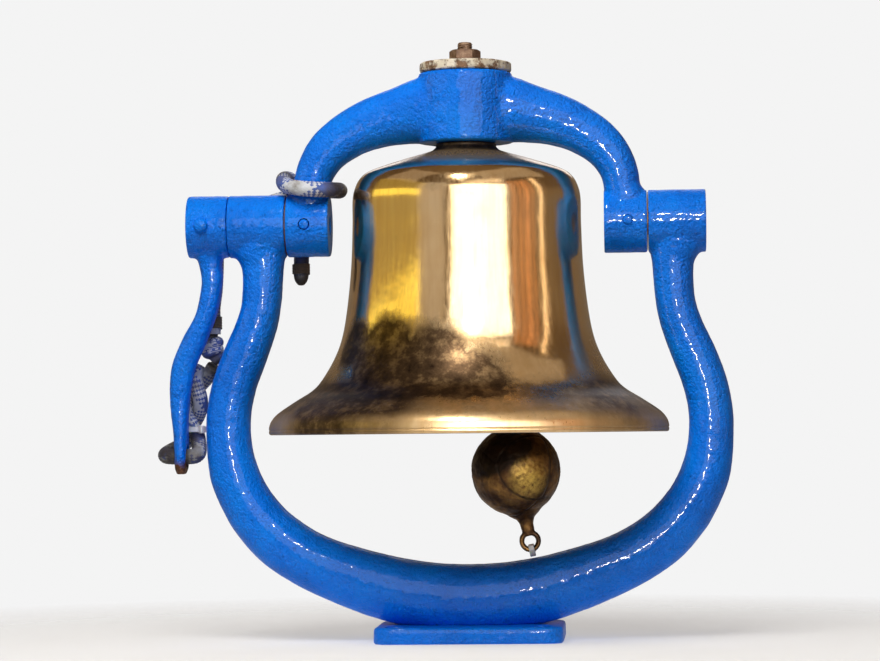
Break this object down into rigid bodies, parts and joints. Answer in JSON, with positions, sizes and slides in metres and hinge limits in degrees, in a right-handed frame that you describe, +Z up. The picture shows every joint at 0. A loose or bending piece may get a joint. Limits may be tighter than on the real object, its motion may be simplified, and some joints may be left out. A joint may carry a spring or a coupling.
{
  "type": "yoke-mounted bell",
  "caption": "Cast bronze bell hung in a yoke that swings on trunnions in a U-shaped cradle, with a hinged clapper, a crank arm and a short bell rope.",
  "frame": {"origin": "centre of the cradle foot's underside, where the bell stands", "axes": "+Z up along the bell's axis at rest; X along the trunnions, with the crank arm at -X; the front faces -Y"},
  "size_m": [0.4622, 0.32, 0.4787],
  "materials": {
    "blue_paint": "thick glossy brushed enamel over rough casting",
    "bell_bronze": "polished and lacquered, with brown tarnish",
    "dark_bronze": "dark patina with rubbed patches",
    "bearing_bronze": "turned, oily",
    "plain_steel": "turned, slightly dull",
    "rusty_iron": "brown rust over forged iron",
    "worn_plate": "old cream paint with rust stains",
    "braided_rope": "blue and white braid, a little dirty",
    "twine": "dark waxed twine",
    "white_nylon": "satin nylon"
  },
  "bodies": {
    "cradle": {"cradle": "blue_paint", "cradle_foot": "blue_paint", "left_bush": "bearing_bronze", "right_bush": "bearing_bronze"},
    "yoke": {"yoke": "blue_paint", "left_trunnion_shaft": "plain_steel", "right_trunnion_shaft": "plain_steel", "left_yoke_pin": "blue_paint", "right_yoke_pin": "blue_paint", "crank_arm": "blue_paint", "crank_set_screw": "blue_paint", "bell": "bell_bronze", "clapper_bolt": "rusty_iron", "clapper_pin": "plain_steel", "clapper_split_pin": "plain_steel", "top_plate_washer": "worn_plate", "top_nut": "rusty_iron", "rope_run": "braided_rope", "rope_knot": "braided_rope", "rope_bight": "braided_rope", "rope_whipping": "twine", "rope_cable_tie": "white_nylon"},
    "clapper": {"clapper_rod": "rusty_iron", "clapper_ball": "dark_bronze", "clapper_tie": "white_nylon"}
  },
  "joints": [
    {"name": "yoke_swing", "type": "hinge", "parent": "cradle", "child": "yoke", "pos_m": [0, 0, 0.333], "axis": [1, 0, 0], "range_deg": [-60, 60]},
    {"name": "clapper_swing", "type": "hinge", "parent": "yoke", "child": "clapper", "pos_m": [0, 0, 0.3256], "axis": [0, -1, 0], "range_deg": [-41.4, 19.4]}
  ]
}
